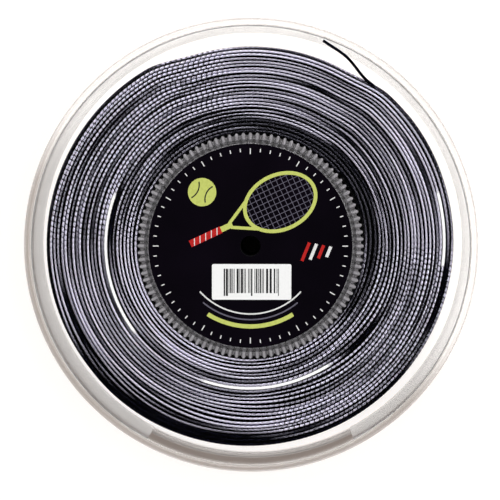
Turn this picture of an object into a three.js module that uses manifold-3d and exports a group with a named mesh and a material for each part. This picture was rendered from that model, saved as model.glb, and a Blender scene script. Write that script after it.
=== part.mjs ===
// A reel of racket string, lying on its rear flange: two clear moulded flanges, a fluted drum between
// them, a spindle tube through the middle, two round labels, a bar-code sticker, the wound string and
// a clear split strip that keeps the winding in.
//
// Millimetres, +Z up. The reel's axis is Z, the front label faces +Z, and the origin is the middle of
// the plane that the rear flange's rim rests on. Angles run anticlockwise from +X, seen from the front.

import * as THREE from "three";
import { mergeVertices } from "three/addons/utils/BufferGeometryUtils.js";
import Module from "manifold-3d";

const wasm = await Module();
wasm.setup();

// ---- Driving dimensions ----

const runningGap = 0.3; // between pieces that lie beside each other without pressing

// Flanges
const flangeRadius = 80;
const plateThickness = 2;
const insideWidth = 30; // from one flange's inner face to the other's
const beadHeight = 0.8; // how far the rim bead stands out of the plate's outer face
const beadWidth = 3.1;
const beadCrown = 0.8; // width of the bead's flat top
const beadChamfer = 0.5;
const lipHeight = 1.6; // the lip inside the rim, which holds the strip
const lipWidth = 1.4;
const recessDepth = 0.4; // the labels' seat in the plate's outer face
const bossHeight = 5; // collar round the spindle tube, on the inner face
const bossWall = 1.6;
const spigotHeight = 3; // ring on the inner face that centres the drum
const spigotWall = 1.2;

// Drum
const drumRadius = 40; // over the crests of its flutes
const drumWall = 1.2;
const fluteDepth = 1;
const fluteCount = 100;

// Spindle tube
const boreRadius = 3.6;
const tubeWall = 1.2;

// Labels and sticker
const labelRadius = 36;
const labelThickness = 0.2;
const stickerWidth = 28;
const stickerHeight = 12.6;
const stickerThickness = 0.15;
const stickerCorner = 0.6;
const stickerGap = 2.75; // between the label's hole and the sticker below it
const stickerShift = 0.45; // of the sticker, to the right

// Keeper strip
const stripThickness = 0.5;
const stripOpening = 56; // degrees, between its ends
const stripOpeningAt = 270; // degrees

// String
const stringDiameter = 1.25;
const rimRoom = 6.45; // left free between the winding and the strip
const turnSpace = 0.3; // the least room between the outer layer's turns
const layersPerRidge = 2; // the lower layers' end turns show as one spiral ridge for so many layers
const stepsPerTurn = 24;
const stringSides = 6;
const departAngle = 52.2; // degrees: where the string leaves the winding
const slotAt = 11.9; // from there to the slot's middle, along the string
const slotOut = 2.2; // how far out from the string's own line the slot's middle is
const slotPlay = 0.475; // between the string and the slot's edges
const slotClimb = 2.6; // the length of slot in which the string climbs through the plate
const looseLength = 10.5; // of the string past the slot
const tipLift = 1.7; // how far the loose end rises on its way along the front flange
const startAngle = 205; // degrees: where the string's first end enters the drum
const startHeight = 6; // of that end above the rear flange's inner face
const startDepth = 3.2; // how far inside the drum's crests it turns aside
const startBend = 2.6;
const startStub = 5;
const anchorPlay = 0.45; // between the string and its hole in the drum

// Facets
const roundFacets = 72;
const tubeFacets = 48;

// ---- Sizes that follow ----

const rearOutside = beadHeight; // heights of the two plates' faces
const rearInside = rearOutside + plateThickness;
const frontInside = rearInside + insideWidth;
const frontOutside = frontInside + plateThickness;
const tubeRadius = boreRadius + tubeWall;
const plateBore = tubeRadius + runningGap;
const spigotRadius = drumRadius - fluteDepth - drumWall - runningGap;
const lipRadius = flangeRadius - lipWidth;
const stripOutside = lipRadius * Math.cos(Math.PI / roundFacets) - runningGap;
const stripInside = stripOutside - stripThickness;
const stringRadius = stringDiameter / 2;
const windingRadius = stripInside - rimRoom - stringRadius; // to the middle of the outermost string
const rearLane = rearInside + runningGap + stringRadius; // heights of the outermost turns' middles
const frontLane = frontInside - runningGap - stringRadius;
const aboveFlange = frontOutside + runningGap + stringRadius;
const toAngle = Math.PI / 180;
const stepAngle = (2 * Math.PI) / stepsPerTurn;

// ---- Helpers ----

const clearPlastic = { color: 0xe4e8e8, roughness: 0.12, metalness: 0, transparent: true, opacity: 0.3 };
const darkPlastic = { color: 0x101012, roughness: 0.45, metalness: 0 };
const printedPaper = { color: 0x0d0b12, roughness: 0.4, metalness: 0 };
const stickerPaper = { color: 0xf2f2f0, roughness: 0.5, metalness: 0 };
const twistedString = { color: 0x2b2c33, roughness: 0.3, metalness: 0 };

const reel = new THREE.Group();

function addPiece(name, geometry, finish) {
  const mesh = new THREE.Mesh(geometry, new THREE.MeshStandardMaterial(finish));
  mesh.name = name;
  reel.add(mesh);
  return mesh;
}

// A solid for cutting, from any closed geometry.
function solidOf(geometry) {
  const bare = (geometry.index ? geometry.toNonIndexed() : geometry).clone();
  bare.deleteAttribute("normal");
  bare.deleteAttribute("uv");
  const merged = mergeVertices(bare, 1e-4);
  const vertProperties = new Float32Array(merged.attributes.position.array);
  const triVerts = new Uint32Array(merged.index.array);
  return new wasm.Manifold(new wasm.Mesh({ numProp: 3, vertProperties, triVerts }));
}

// The geometry of what is left after cutting.
function geometryOf(solid) {
  const mesh = solid.getMesh();
  const positions = new Float32Array(mesh.numVert * 3);
  for (let i = 0; i < mesh.numVert; i++) {
    positions.set(mesh.vertProperties.subarray(i * mesh.numProp, i * mesh.numProp + 3), i * 3);
  }
  const geometry = new THREE.BufferGeometry();
  geometry.setAttribute("position", new THREE.BufferAttribute(positions, 3));
  geometry.setIndex(new THREE.BufferAttribute(mesh.triVerts, 1));
  const flat = geometry.toNonIndexed();
  flat.computeVertexNormals();
  return flat;
}

// Spins [radius, height] points about Z. They run with the solid on their left, and the last one
// joins the first.
function turned(points, facets) {
  const profile = [...points, points[0]].map(([radius, height]) => new THREE.Vector2(radius, height));
  return new THREE.LatheGeometry(profile, facets).rotateX(Math.PI / 2);
}

// A flat ring that stands on a given height.
function ring(innerRadius, outerRadius, bottom, thickness, facets) {
  const top = bottom + thickness;
  return turned(
    [[innerRadius, bottom], [outerRadius, bottom], [outerRadius, top], [innerRadius, top]],
    facets,
  );
}

// A loose stretch of string along a smooth path.
function stringAlong(points, steps) {
  const section = new THREE.Shape();
  const sides = 8;
  for (let i = 0; i < sides; i++) {
    const angle = ((i + 0.5) / sides) * 2 * Math.PI;
    const [x, y] = [stringRadius * Math.cos(angle), stringRadius * Math.sin(angle)];
    if (i === 0) section.moveTo(x, y);
    else section.lineTo(x, y);
  }
  section.closePath();
  const path = new THREE.CatmullRomCurve3(points, false, "centripetal");
  return new THREE.ExtrudeGeometry(section, { steps, extrudePath: path });
}

// ---- The loose end's route ----

// Directions where the string leaves the winding: outwards, and on along the string.
const outwards = new THREE.Vector3(Math.cos(departAngle * toAngle), Math.sin(departAngle * toAngle), 0);
const onwards = new THREE.Vector3(-outwards.y, outwards.x, 0);

// A place so far along from there, so far out from the string's own line, and at a height.
function besideWinding(along, out, height) {
  return new THREE.Vector3(0, 0, height)
    .addScaledVector(outwards, windingRadius + out)
    .addScaledVector(onwards, along);
}

// Straight on from the winding, up through the front flange, and on along its face.
const climb = aboveFlange - frontLane;
const climbRun = 0.577 * slotClimb; // from the slot's middle to where the string is level again
const slotEnd = slotAt + climbRun;
const tailRoute = [
  besideWinding(stringDiameter + runningGap, 0, frontLane),
  besideWinding(0.353 * slotAt, 0.136 * slotOut, frontLane),
  besideWinding(0.571 * slotAt, 0.477 * slotOut, frontLane),
  besideWinding(0.731 * slotAt, 0.727 * slotOut, frontLane + 0.02 * climb),
  besideWinding(slotAt - climbRun, 0.886 * slotOut, frontLane + 0.16 * climb),
  besideWinding(slotAt, slotOut, frontLane + 0.5 * climb),
  besideWinding(slotEnd, 1.068 * slotOut, frontLane + 0.84 * climb),
  besideWinding(slotEnd + 0.171 * looseLength, 1.091 * slotOut, aboveFlange + 0.03 * tipLift),
  besideWinding(slotEnd + 0.4 * looseLength, 1.045 * slotOut, aboveFlange + 0.24 * tipLift),
  besideWinding(slotEnd + 0.686 * looseLength, 0.909 * slotOut, aboveFlange + 0.6 * tipLift),
  besideWinding(slotEnd + looseLength, 0.773 * slotOut, aboveFlange + tipLift),
];
const [slotEntry, slotMiddle, slotExit] = tailRoute.slice(4, 7);

// ---- Flanges ----

// One flange with its inner face at height 0 and its outer face above, as the front one lies.
function flangeGeometry() {
  const beadTop = plateThickness + beadHeight;
  const crownEdge = flangeRadius - beadChamfer;
  const labelSeat = labelRadius + runningGap;
  const seatHeight = plateThickness - recessDepth;
  return turned(
    [
      [plateBore, -bossHeight],
      [plateBore + bossWall, -bossHeight],
      [plateBore + bossWall, 0],
      [spigotRadius - spigotWall, 0],
      [spigotRadius - spigotWall, -spigotHeight],
      [spigotRadius, -spigotHeight],
      [spigotRadius, 0],
      [lipRadius, 0],
      [lipRadius, -lipHeight],
      [flangeRadius, -lipHeight],
      [flangeRadius, beadTop - beadChamfer],
      [crownEdge, beadTop],
      [crownEdge - beadCrown, beadTop],
      [flangeRadius - beadWidth, plateThickness],
      [labelSeat, plateThickness],
      [labelSeat, seatHeight],
      [plateBore, seatHeight],
    ],
    roundFacets,
  );
}

// A cutter for the slot that the loose end comes through, along the string's own slant.
function stringSlot() {
  const round = stringRadius + slotPlay;
  const half = slotClimb / 2 + stringDiameter * 0.75 + slotPlay;
  const shape = new THREE.Shape();
  shape.absarc(half - round, 0, round, -Math.PI / 2, Math.PI / 2, false);
  shape.absarc(round - half, 0, round, Math.PI / 2, (3 * Math.PI) / 2, false);
  shape.closePath();
  const depth = 3 * plateThickness;
  const cutter = new THREE.ExtrudeGeometry(shape, { depth, bevelEnabled: false, curveSegments: 8 });
  cutter.translate(0, 0, -plateThickness);
  cutter.rotateZ(Math.atan2(slotExit.y - slotEntry.y, slotExit.x - slotEntry.x));
  return cutter.translate(slotMiddle.x, slotMiddle.y, 0);
}

function addFlanges() {
  const slotted = solidOf(flangeGeometry()).subtract(solidOf(stringSlot()));
  const front = addPiece("front_flange", geometryOf(slotted), clearPlastic);
  front.position.z = frontInside;
  const rear = addPiece("rear_flange", flangeGeometry(), clearPlastic);
  rear.rotation.x = Math.PI;
  rear.position.z = rearInside;
}

// ---- Drum and spindle tube ----

// An outline whose points lie in turn on the flutes' crests and in their valleys.
function flutedOutline(crest, path) {
  for (let i = 0; i < 2 * fluteCount; i++) {
    const angle = (i * Math.PI) / fluteCount;
    const radius = crest - (i % 2) * fluteDepth;
    const [x, y] = [radius * Math.cos(angle), radius * Math.sin(angle)];
    if (i === 0) path.moveTo(x, y);
    else path.lineTo(x, y);
  }
  path.closePath();
  return path;
}

function addDrum() {
  const shape = flutedOutline(drumRadius, new THREE.Shape());
  shape.holes.push(flutedOutline(drumRadius - drumWall, new THREE.Path()));
  const wall = new THREE.ExtrudeGeometry(shape, { depth: insideWidth, bevelEnabled: false });
  const holeRadius = stringRadius + anchorPlay;
  const hole = new THREE.CylinderGeometry(holeRadius, holeRadius, 4 * drumWall, 16);
  hole.rotateZ(Math.PI / 2);
  hole.translate(drumRadius - drumWall, 0, startHeight);
  hole.rotateZ(startAngle * toAngle);
  const drum = geometryOf(solidOf(wall).subtract(solidOf(hole)));
  addPiece("fluted_drum", drum, clearPlastic).position.z = rearInside;
}

function addSpindleTube() {
  const bottom = rearOutside + recessDepth;
  const length = frontOutside - recessDepth - bottom;
  addPiece("spindle_tube", ring(boreRadius, tubeRadius, bottom, length, tubeFacets), darkPlastic);
}

// ---- Labels and sticker ----

function addLabels() {
  const frontSeat = frontOutside - recessDepth;
  const rearSeat = rearOutside + recessDepth;
  const front = ring(boreRadius, labelRadius, frontSeat, labelThickness, roundFacets);
  const rear = ring(boreRadius, labelRadius, rearSeat - labelThickness, labelThickness, roundFacets);
  addPiece("front_label", front, printedPaper);
  addPiece("rear_label", rear, printedPaper);
}

function addSticker() {
  const [x, y, round] = [stickerWidth / 2, stickerHeight / 2, stickerCorner];
  const shape = new THREE.Shape();
  shape.absarc(x - round, y - round, round, 0, Math.PI / 2, false);
  shape.absarc(round - x, y - round, round, Math.PI / 2, Math.PI, false);
  shape.absarc(round - x, round - y, round, Math.PI, (3 * Math.PI) / 2, false);
  shape.absarc(x - round, round - y, round, (3 * Math.PI) / 2, 2 * Math.PI, false);
  shape.closePath();
  const depth = stickerThickness;
  const sticker = new THREE.ExtrudeGeometry(shape, { depth, bevelEnabled: false, curveSegments: 4 });
  const drop = boreRadius + stickerGap + y;
  const labelFace = frontOutside - recessDepth + labelThickness;
  addPiece("bar_code_sticker", sticker, stickerPaper).position.set(stickerShift, -drop, labelFace);
}

// ---- String ----

// The lower layers, as one ring whose two faces carry their end turns as a spiral ridge. Its corners
// line up with the steps of the turns round it.
function addWindingCore() {
  const flatness = Math.cos(stepAngle / 2);
  const inside = (drumRadius + runningGap) / flatness;
  const outside = windingRadius - (stringRadius + runningGap) / flatness;
  const ridges = Math.max(1, Math.round((outside - inside) / (layersPerRidge * stringDiameter)));
  const [low, high] = [rearInside + runningGap, frontInside - runningGap];
  const last = 2 * ridges + 2;

  // A place on a face: the ridge moves out by its own width in each turn. Even columns are its crest,
  // odd ones the valley beside it, and those that pass the ring's edges stop there.
  function place(step, column, face) {
    if (step === stepsPerTurn) return place(0, Math.min(column + 2, last), face);
    const moved = step / stepsPerTurn;
    const across = THREE.MathUtils.clamp(column / 2 - 1 + moved, 0, ridges);
    const nearest = Math.abs(across - moved - Math.round(across - moved));
    const sunk = 2 * nearest * stringDiameter;
    const radius = THREE.MathUtils.lerp(inside, outside, across / ridges);
    const angle = departAngle * toAngle + step * stepAngle;
    const height = face === "front" ? high - sunk : low + sunk;
    return new THREE.Vector3(radius * Math.cos(angle), radius * Math.sin(angle), height);
  }

  const corners = [];
  function addFace(...places) {
    const [a, b, c] = places;
    if (a.distanceTo(b) < 1e-6 || b.distanceTo(c) < 1e-6 || c.distanceTo(a) < 1e-6) return;
    corners.push(...places);
  }
  function addQuad(a, b, c, d) {
    addFace(a, b, c);
    addFace(a, c, d);
  }
  for (let step = 0; step < stepsPerTurn; step++) {
    const next = step + 1;
    for (let column = 0; column < last; column++) {
      const beside = column + 1;
      const [f, r] = ["front", "rear"].map((face) => [
        place(step, column, face), place(step, beside, face),
        place(next, beside, face), place(next, column, face),
      ]);
      addQuad(f[0], f[1], f[2], f[3]);
      addQuad(r[0], r[3], r[2], r[1]);
    }
    addQuad(place(step, 0, "rear"), place(step, 0, "front"), place(next, 0, "front"), place(next, 0, "rear"));
    addQuad(
      place(step, last, "rear"), place(next, last, "rear"),
      place(next, last, "front"), place(step, last, "front"),
    );
  }
  const core = new THREE.BufferGeometry().setFromPoints(corners);
  core.computeVertexNormals();
  addPiece("winding_core", core, twistedString);
}

// The outer layer's stations: from the rear flange round to where the string leaves at the front.
function outerLayerStations() {
  const halfTurns = Math.floor((2 * (frontLane - rearLane)) / (stringDiameter + turnSpace));
  const steps = (halfTurns * stepsPerTurn) / 2;
  const stations = [];
  for (let i = 0; i <= steps; i++) {
    const angle = departAngle * toAngle - (steps - i) * stepAngle;
    const radial = new THREE.Vector3(Math.cos(angle), Math.sin(angle), 0);
    const height = THREE.MathUtils.lerp(rearLane, frontLane, i / steps);
    const middle = radial.clone().multiplyScalar(windingRadius).setZ(height);
    stations.push({ middle, radial, ahead: new THREE.Vector3(-radial.y, radial.x, 0) });
  }
  const [first, last] = [stations[0], stations[steps]];
  const before = first.middle.clone().addScaledVector(first.ahead, -stringDiameter);
  const after = last.middle.clone().addScaledVector(last.ahead, stringDiameter);
  return [{ ...first, middle: before }, ...stations, { ...last, middle: after }];
}

// The least distance between one turn and the next, measured on the points of their rings.
function leastGap(rings) {
  let least = Infinity;
  for (let i = 0; i + stepsPerTurn < rings.length; i++) {
    for (const a of rings[i]) {
      for (const near of [-1, 0, 1]) {
        for (const b of rings[i + stepsPerTurn + near] ?? []) least = Math.min(least, a.distanceTo(b));
      }
    }
  }
  return least;
}

function addOuterLayer() {
  const rings = outerLayerStations().map(({ middle, radial, ahead }) => {
    const side = new THREE.Vector3().crossVectors(ahead, radial);
    return Array.from({ length: stringSides }, (_, k) => {
      const angle = (k / stringSides) * 2 * Math.PI;
      return middle
        .clone()
        .addScaledVector(radial, stringRadius * Math.cos(angle))
        .addScaledVector(side, stringRadius * Math.sin(angle));
    });
  });
  console.log(`least gap between the outer layer's turns: ${leastGap(rings).toFixed(2)} mm`);
  const faces = [];
  const end = (rings.length - 1) * stringSides;
  for (let i = 0; i < end; i += stringSides) {
    for (let k = 0; k < stringSides; k++) {
      const [a, b] = [i + k, i + ((k + 1) % stringSides)];
      faces.push(a, b, a + stringSides, b, b + stringSides, a + stringSides);
    }
  }
  for (let k = 1; k + 1 < stringSides; k++) {
    faces.push(0, k + 1, k, end, end + k, end + k + 1);
  }
  const geometry = new THREE.BufferGeometry().setFromPoints(rings.flat());
  geometry.setIndex(faces);
  const flat = geometry.toNonIndexed();
  flat.computeVertexNormals();
  addPiece("winding_outer_layer", flat, twistedString);
}

function addStringTail() {
  addPiece("string_tail", stringAlong(tailRoute, 28), twistedString);
}

// The first end, pushed through a hole in the drum before winding and turned aside inside it.
function addStringStart() {
  const height = rearInside + startHeight;
  const turnAt = drumRadius - startDepth;
  const points = [
    new THREE.Vector3(drumRadius, 0, height),
    new THREE.Vector3(turnAt + 0.25 * startBend, 0, height),
    new THREE.Vector3(turnAt - 0.5 * startBend, 0.35 * startBend, height),
    new THREE.Vector3(turnAt - 0.85 * startBend, startBend, height),
    new THREE.Vector3(turnAt - startBend, startBend + 0.5 * startStub, height),
    new THREE.Vector3(turnAt - startBend, startBend + startStub, height),
  ];
  addPiece("string_start", stringAlong(points, 16), twistedString).rotation.z = startAngle * toAngle;
}

// ---- Keeper strip ----

// A springy strip, curled inside the two lips. String is drawn off through the opening between its ends.
function addKeeperStrip() {
  const from = (stripOpeningAt + stripOpening / 2) * toAngle;
  const to = (stripOpeningAt - stripOpening / 2 + 360) * toAngle;
  const shape = new THREE.Shape();
  shape.absarc(0, 0, stripOutside, from, to, false);
  shape.absarc(0, 0, stripInside, to, from, true);
  shape.closePath();
  const depth = insideWidth - 2 * runningGap;
  const curveSegments = Math.ceil((roundFacets * (360 - stripOpening)) / 360);
  const strip = new THREE.ExtrudeGeometry(shape, { depth, bevelEnabled: false, curveSegments });
  addPiece("keeper_strip", strip, clearPlastic).position.z = rearInside + runningGap;
}

addFlanges();
addDrum();
addSpindleTube();
addLabels();
addSticker();
addWindingCore();
addOuterLayer();
addStringTail();
addStringStart();
addKeeperStrip();

export default reel;
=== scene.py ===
"""A full reel of racket string, dressed for the photograph's front view."""

import math
import random

import bmesh
import bpy
from mathutils import Matrix, Vector


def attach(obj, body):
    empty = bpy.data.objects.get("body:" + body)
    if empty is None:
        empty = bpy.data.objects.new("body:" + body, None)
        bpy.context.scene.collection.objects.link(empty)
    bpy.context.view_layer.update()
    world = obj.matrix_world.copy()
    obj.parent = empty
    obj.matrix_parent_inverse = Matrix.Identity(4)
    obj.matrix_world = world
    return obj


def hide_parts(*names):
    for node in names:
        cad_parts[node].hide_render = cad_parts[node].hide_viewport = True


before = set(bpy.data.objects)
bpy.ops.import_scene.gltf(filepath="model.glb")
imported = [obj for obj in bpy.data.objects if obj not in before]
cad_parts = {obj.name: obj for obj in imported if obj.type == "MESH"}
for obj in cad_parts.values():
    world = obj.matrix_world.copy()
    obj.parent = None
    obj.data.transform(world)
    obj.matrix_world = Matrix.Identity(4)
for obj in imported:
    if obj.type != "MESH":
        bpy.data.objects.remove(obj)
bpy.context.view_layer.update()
mm = 0.001
full_turn = 2 * math.pi

# ---- Camera ----
# The reel is seen from the front, almost straight down its axis, from a little above and to the right
# of it, so that the rear rim shows inside the front one.

rim_top = 35.6 * mm  # height of the front rim's crown
camera_distance = 560 * mm
camera_aside = 11 * mm
camera_above = 20 * mm
picture_width = 175.8 * mm  # what the picture takes in at the front rim
picture_middle = Vector((-0.1 * mm, -1.35 * mm, rim_top))
sensor = 36.0

lens = bpy.data.cameras.new("front_view")
lens.sensor_width = sensor
lens.lens = sensor * camera_distance / picture_width
lens.clip_start = 10 * mm
camera = bpy.data.objects.new("front_view", lens)
camera.location = (camera_aside, camera_above, rim_top + camera_distance)
backwards = (camera.location - picture_middle).normalized()
rightwards = Vector((0, 1, 0)).cross(backwards).normalized()
upwards = backwards.cross(rightwards)
camera.rotation_euler = Matrix((rightwards, upwards, backwards)).transposed().to_euler()
bpy.context.collection.objects.link(camera)
bpy.context.scene.camera = camera
bpy.context.scene.view_settings.view_transform = "Standard"

# ---- Flanges ----
# Two clear moulded discs, each with a bead and a lip at its rim, a seat for the label, a ring that
# centres the drum, and a collar for the tube. The front one has a slanted slot for the string's end.

flange_radius = 80 * mm
plate = 2 * mm
bead_height = 0.8 * mm
bead_width = 3.1 * mm
lip_radius = 78.6 * mm
lip_height = 1.6 * mm
seat_radius = 36.3 * mm
seat_depth = 0.4 * mm
spigot_radius = 37.5 * mm
spigot_wall = 1.2 * mm
spigot_height = 3 * mm
collar_radius = 6.7 * mm
collar_bore = 5.1 * mm
collar_height = 5 * mm
moulded_edge = 0.25 * mm
front_inside = 32.8 * mm
rear_inside = 2.8 * mm
slot_half_length = 2.71 * mm
slot_half_width = 1.1 * mm
slot_steps = 12
face_slack = 0.1 * mm  # how near to a face counts as on it
rib_frost = 0.12, 0.5  # how frosted the centring ring's hollows and ribs are
edge_frost = 0.11  # how frosted the rim's outer edge is
lip_frost = 0.25  # how much more its lip is
round_steps = 288
crease = math.radians(35)  # edges sharper than this show as edges
flute_count = 100  # of the drum, and the ribs on the rings that centre it


class Output:
    """What a node puts out. What is done with it becomes another node of the same tree."""

    def __init__(self, socket):
        self.socket = socket
        self.tree = socket.id_data

    def math(self, operation, *others):
        return arithmetic(self.tree, operation, self, *others)

    def __add__(self, other):
        return self.math("ADD", other)

    def __sub__(self, other):
        return self.math("SUBTRACT", other)

    def __rsub__(self, other):
        return arithmetic(self.tree, "SUBTRACT", other, self)

    def __mul__(self, other):
        return self.math("MULTIPLY", other)

    def __truediv__(self, other):
        return self.math("DIVIDE", other)

    def __gt__(self, other):
        return self.math("GREATER_THAN", other)

    def __lt__(self, other):
        return self.math("LESS_THAN", other)

    def __abs__(self):
        return self.math("ABSOLUTE")

    def ranged(self, start, end, low=0.0, high=1.0, **settings):
        """Runs evenly from low to high as this runs from start to end."""
        return add_node(self.tree, "ShaderNodeMapRange", settings, {
            "Value": self, "From Min": start, "From Max": end, "To Min": low, "To Max": high})

    def eased(self, start, end, low=0.0, high=1.0):
        """The same, but it sets off and arrives gently."""
        return self.ranged(start, end, low, high, interpolation_type="SMOOTHSTEP")

    def between(self, low, high):
        """Runs from low to high as this runs from 0 to 1."""
        return self.ranged(0.0, 1.0, low, high)

    def blended(self, first, second):
        """Goes from one colour to another as this runs from 0 to 1."""
        return add_node(self.tree, "ShaderNodeMix", {"data_type": "RGBA"}, {0: self, 6: first, 7: second}, 2)

    def bump(self, depth):
        """The way that a surface faces which this roughens."""
        return add_node(self.tree, "ShaderNodeBump", inputs={"Height": self, "Distance": depth})

    def axes(self):
        """A place's three numbers."""
        across = add_node(self.tree, "ShaderNodeSeparateXYZ", inputs={0: self})
        return [Output(socket) for socket in across.socket.node.outputs]

    def flat(self):
        """A place without its height."""
        return vectors(self.tree, "MULTIPLY", self, (1, 1, 0))

    def length(self):
        return vectors(self.tree, "LENGTH", self, output="Value")

    def scaled(self, amount):
        return add_node(self.tree, "ShaderNodeVectorMath", {"operation": "SCALE"}, {0: self, "Scale": amount})


def add_node(tree, kind, settings=None, inputs=None, output=0):
    """Adds a node, and gives one thing that it puts out. Each input is given by name or number, as a
    value or as what another node puts out."""
    node = tree.nodes.new(kind)
    for name, value in (settings or {}).items():
        setattr(node, name, value)
    for key, value in (inputs or {}).items():
        if isinstance(value, Output):
            tree.links.new(value.socket, node.inputs[key])
        else:
            node.inputs[key].default_value = value
    return Output(node.outputs[output]) if len(node.outputs) else None


def arithmetic(tree, operation, *values):
    return add_node(tree, "ShaderNodeMath", {"operation": operation}, dict(enumerate(values)))


def vectors(tree, operation, *values, output=0):
    return add_node(tree, "ShaderNodeVectorMath", {"operation": operation}, dict(enumerate(values)), output)


def place_of(tree, *values):
    """A place from its three numbers."""
    return add_node(tree, "ShaderNodeCombineXYZ", inputs=dict(enumerate(values)))


def own_place(tree):
    """A point's place on the piece."""
    return add_node(tree, "ShaderNodeTexCoord", output="Object")


def new_material(name):
    """A material with only its output node, and its node tree."""
    material = bpy.data.materials.new(name)
    material.use_nodes = True
    material.node_tree.nodes.clear()
    add_node(material.node_tree, "ShaderNodeOutputMaterial")
    return material, material.node_tree


def surface(tree, shader):
    """Joins a shader to the material's output."""
    tree.links.new(shader.socket, tree.nodes["Material Output"].inputs["Surface"])


def coat(tree, colour, roughness, normal, **others):
    """Gives a material one plain surface."""
    surface(tree, add_node(tree, "ShaderNodeBsdfPrincipled", inputs={
        "Base Color": colour, "Roughness": roughness, "Normal": normal,
        **{name.replace("_", " "): value for name, value in others.items()}}))


def object_noise(tree, scale, detail):
    """Noise on the piece's own coordinates, in cells per metre."""
    inputs = {"Vector": own_place(tree), "Scale": scale, "Detail": detail}
    return add_node(tree, "ShaderNodeTexNoise", inputs=inputs)


def clear_plastic(name, tint, shade, rough, ripple, ripple_scale, milk, milk_colour):
    """Clear moulded plastic that lets lamps through, with faint flow ripples from the mould. milk is how
    much of it is frosted, in that colour; each is a value or a function that makes it."""
    material, tree = new_material(name)

    def mixed(share, first, second):
        return add_node(tree, "ShaderNodeMixShader", inputs={0: share, 1: first, 2: second})

    body = add_node(tree, "ShaderNodeBsdfPrincipled", inputs={
        "Base Color": tint,
        "Transmission Weight": 1.0,
        "IOR": 1.46,
        "Roughness": object_noise(tree, 900.0, 3.0).between(rough * 0.6, rough * 1.5),
        "Normal": object_noise(tree, ripple_scale, 1.0).bump(ripple),
    })
    milk, milk_colour = (part(tree) if callable(part) else part for part in (milk, milk_colour))
    cloudy = mixed(0.5, *(add_node(tree, "ShaderNodeBsdf" + kind, inputs={"Color": milk_colour})
                          for kind in ("Translucent", "Diffuse")))
    in_shadow = add_node(tree, "ShaderNodeLightPath", output="Is Shadow Ray")
    let_through = add_node(tree, "ShaderNodeBsdfTransparent", inputs={"Color": shade})
    surface(tree, mixed(in_shadow, mixed(milk, body, cloudy), let_through))
    return material


def turned(x, y, angle):
    """A flat place, turned about the middle."""
    return Vector((x * math.cos(angle) - y * math.sin(angle), x * math.sin(angle) + y * math.cos(angle)))


def rounded(corners, steps):
    """A closed outline from (radius, height, rounding) corners, with an arc at each."""
    outline = []
    for i, (x, y, rounding) in enumerate(corners):
        corner = Vector((x, y))
        before = (Vector(corners[i - 1][:2]) - corner).normalized()
        after = (Vector(corners[(i + 1) % len(corners)][:2]) - corner).normalized()
        half = before.angle(after) / 2
        middle = corner + (before + after).normalized() * (rounding / math.sin(half))
        first = corner + before * (rounding / math.tan(half)) - middle
        last = corner + after * (rounding / math.tan(half)) - middle
        sweep = first.angle_signed(last)
        for k in range(steps + 1):
            outline.append(middle + turned(first.x, first.y, -sweep * k / steps))
    return outline


def section(corners, steps, hold):
    """A rounded outline, with points near the ends of long straight runs that keep their shading flat."""
    outline = rounded(corners, steps)
    kept = []
    for i, point in enumerate(outline):
        run = outline[(i + 1) % len(outline)] - point
        kept.append(point)
        if run.length > 4 * hold:
            kept += [point + run.normalized() * hold, point + run - run.normalized() * hold]
    return [tuple(point) for point in kept]


def wall_section(inner, outer, bottom, top, rounding, steps=4, hold=0.3 * mm):
    """The section of a plain wall with rounded edges."""
    corners = (inner, bottom), (outer, bottom), (outer, top), (inner, top)
    return section([(*corner, rounding) for corner in corners], steps, hold)


def link(piece):
    bpy.context.collection.objects.link(piece)
    return piece


def mesh_piece(name, points, faces, material):
    """A piece from points and faces, smooth but for its creases."""
    mesh = bpy.data.meshes.new(name)
    mesh.from_pydata(points, [], faces)
    mesh.shade_smooth()
    mesh.set_sharp_from_angle(angle=crease)
    mesh.materials.append(material)
    return link(bpy.data.objects.new(name, mesh))


def lathe(name, outline, material, steps=round_steps, turn=full_turn, start=0.0):
    """Spins a closed outline about the reel's axis. The outline runs with the solid on its left."""
    whole = turn >= full_turn
    stations = steps if whole else steps + 1
    points = []
    for i in range(stations):
        angle = start + turn * i / steps
        points += [(r * math.cos(angle), r * math.sin(angle), z) for r, z in outline]
    count = len(outline)
    faces = []
    for i in range(steps):
        here, there = i * count, (i + 1) % stations * count
        for j in range(count):
            k = (j + 1) % count
            faces.append((here + j, there + j, there + k, here + k))
    if not whole:
        last = steps * count
        faces.append(tuple(range(count)))
        faces.append(tuple(last + j for j in reversed(range(count))))
    return mesh_piece(name, points, faces, material)


def bar_between(name, low, high):
    """A closed bar between two like rings of points."""
    count = len(low)
    faces = [tuple(reversed(range(count))), tuple(range(count, 2 * count))]
    faces += [(k, (k + 1) % count, (k + 1) % count + count, k + count) for k in range(count)]
    return mesh_piece(name, low + high, faces, None)


def as_made(piece):
    """The piece's mesh with its modifiers' work in it, and the modifiers gone."""
    depsgraph = bpy.context.evaluated_depsgraph_get()
    made = bpy.data.meshes.new_from_object(piece.evaluated_get(depsgraph))
    piece.modifiers.clear()
    piece.data = made
    return piece


def cut(piece, cutter):
    """Cuts one closed piece out of another."""
    saw = piece.modifiers.new("cut", "BOOLEAN")
    saw.operation = "DIFFERENCE"
    saw.solver = "EXACT"
    saw.object = cutter
    as_made(piece)
    bpy.data.objects.remove(cutter)
    piece.data.set_sharp_from_angle(angle=crease)
    return piece


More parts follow.
